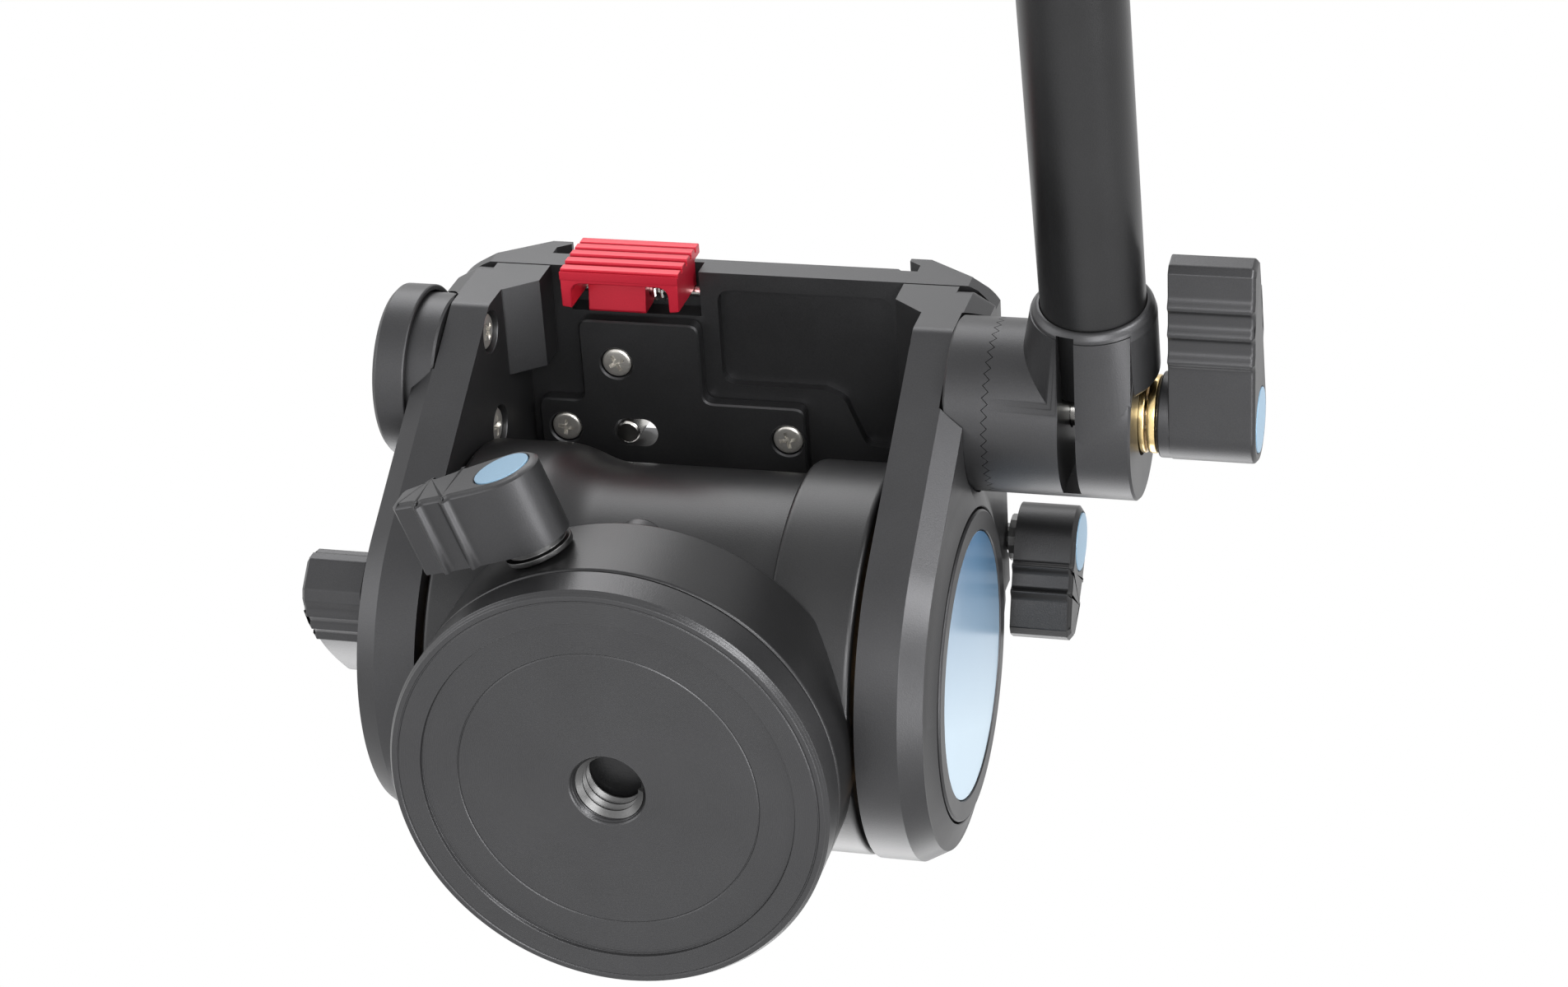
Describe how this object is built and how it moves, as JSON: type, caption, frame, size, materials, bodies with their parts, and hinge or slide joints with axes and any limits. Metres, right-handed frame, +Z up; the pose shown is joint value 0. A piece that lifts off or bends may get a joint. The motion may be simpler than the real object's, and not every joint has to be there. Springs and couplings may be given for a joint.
{
  "type": "fluid video head",
  "caption": "Compact two-arm fluid video head: panning base, tilting cradle with a dovetail plate clamp, wing-lever locks, round level and a pan bar clamped on a toothed hub",
  "frame": {"origin": "centre of the base's underside, on the pan axis", "axes": "+X to the right seen from behind, where the pan bar's hub is; +Y to the front, away from the pan bar; +Z up along the pan axis"},
  "size_m": [0.1283, 0.3106, 0.0851],
  "materials": {
    "black_satin": "satin black anodised",
    "charcoal": "fine satin charcoal anodised",
    "steel": "bright machined",
    "dark_steel": "blackened",
    "brass": "turned",
    "red": "satin red anodised",
    "blue": "glossy, shading from blue to pale blue",
    "pale_blue": "matt",
    "bronze": "sintered bearing bronze",
    "grey_polymer": "matt",
    "vial": "clear, filled with a green liquid",
    "foam": "fine closed-cell foam"
  },
  "bodies": {
    "base": {"base_flange": "charcoal", "pan_spindle": "steel", "spindle_screw_1": "dark_steel", "spindle_screw_2": "dark_steel", "spindle_screw_3": "dark_steel", "pan_drag_rotor": "bronze", "thrust_washer": "steel", "spindle_nut": "dark_steel"},
    "pan_body": {"pan_housing": "black_satin", "pan_bush": "bronze", "level_ring": "charcoal", "level_vial": "vial", "tilt_bush_right": "bronze", "tilt_bush_left": "bronze", "tilt_drag_cartridge": "grey_polymer", "counterbalance_spring": "dark_steel"},
    "pan_lock": {"pan_lock_lever": "charcoal", "pan_lock_inlay": "pale_blue", "pan_lock_stud": "dark_steel"},
    "pan_shoe": {"pan_lock_shoe": "brass"},
    "cradle": {"tilt_axle": "steel", "right_arm": "charcoal", "left_arm": "charcoal", "right_cap": "charcoal", "right_cap_disc": "blue", "left_cap": "charcoal", "platform": "charcoal", "cover_plate": "charcoal", "cover_screw_1": "steel", "cover_screw_2": "steel", "cover_screw_3": "steel", "hub_screw_right_1": "steel", "hub_screw_right_2": "steel", "hub_screw_left_1": "steel", "hub_screw_left_2": "steel", "rosette_hub_right": "charcoal", "rosette_hub_left": "charcoal", "hub_cover": "charcoal", "release_pivot": "steel", "release_spring": "steel"},
    "tilt_lock": {"tilt_lock_lever": "charcoal", "tilt_lock_inlay": "pale_blue", "tilt_lock_stud": "dark_steel"},
    "plate_lock": {"plate_lock_lever": "black_satin", "plate_lock_inlay": "pale_blue", "plate_lock_stud": "dark_steel"},
    "jaw": {"clamp_jaw": "dark_steel"},
    "release": {"release_lever": "red"},
    "latch": {"latch_pin": "steel"},
    "bar": {"bar_clamp": "charcoal", "bar_tube": "black_satin", "bar_grip": "foam", "bar_end_cap": "charcoal", "clamp_washer_inner": "brass", "clamp_washer_outer": "brass"},
    "bolt": {"clamp_bolt": "steel"},
    "knob": {"clamp_knob": "charcoal", "clamp_inlay": "pale_blue"}
  },
  "joints": [
    {"name": "pan", "type": "hinge", "parent": "base", "child": "pan_body", "pos_m": [0, 0, 0], "axis": [0, 0, 1], "continuous": true},
    {"name": "pan_lock_turn", "type": "hinge", "parent": "pan_body", "child": "pan_lock", "pos_m": [-0.01101, -0.03026, 0.0129], "axis": [-0.342, -0.9397, 0], "range_deg": [-90, 0]},
    {"name": "pan_shoe_press", "type": "slide", "parent": "pan_body", "child": "pan_shoe", "axis": [0.342, 0.9397, 0], "range_m": [0, 0.00025]},
    {"name": "tilt", "type": "hinge", "parent": "pan_body", "child": "cradle", "pos_m": [0, 0, 0.0398], "axis": [1, 0, 0], "range_deg": [-85, 50]},
    {"name": "tilt_lock_turn", "type": "hinge", "parent": "cradle", "child": "tilt_lock", "pos_m": [-0.0413, 0, 0.0398], "axis": [-1, 0, 0], "range_deg": [-90, 0]},
    {"name": "plate_lock_turn", "type": "hinge", "parent": "cradle", "child": "plate_lock", "pos_m": [0.0411, -0.0022, 0.073], "axis": [1, 0, 0], "range_deg": [-150, 0]},
    {"name": "jaw_press", "type": "slide", "parent": "cradle", "child": "jaw", "axis": [-1, 0, 0], "range_m": [0, 0.0012]},
    {"name": "release_turn", "type": "hinge", "parent": "cradle", "child": "release", "pos_m": [0, -0.0393, 0.0718], "axis": [1, 0, 0], "range_deg": [0, 12], "stiffness_Nm_per_rad": 0.08, "springref_deg": -11.46},
    {"name": "latch_drop", "type": "slide", "parent": "cradle", "child": "latch", "axis": [0, 0, -1], "range_m": [0, 0.0012]},
    {"name": "bar_swing", "type": "hinge", "parent": "cradle", "child": "bar", "pos_m": [0, -0.0316, 0.057], "axis": [1, 0, 0], "range_deg": [-88, 88]},
    {"name": "bolt_draw", "type": "slide", "parent": "cradle", "child": "bolt", "axis": [1, 0, 0], "range_m": [0, 0.0008]},
    {"name": "knob_turn", "type": "hinge", "parent": "bolt", "child": "knob", "pos_m": [0.0662, -0.0316, 0.057], "axis": [1, 0, 0], "range_deg": [0, 360]}
  ],
  "couplings": [
    {"joint": "pan_shoe_press", "follows": "pan_lock_turn", "m_per_rad": -0.00015915},
    {"joint": "jaw_press", "follows": "plate_lock_turn", "m_per_rad": -0.00045837},
    {"joint": "latch_drop", "follows": "release_turn", "m_per_rad": 0.0057296},
    {"joint": "bolt_draw", "follows": "knob_turn", "m_per_rad": 0.00012732}
  ]
}
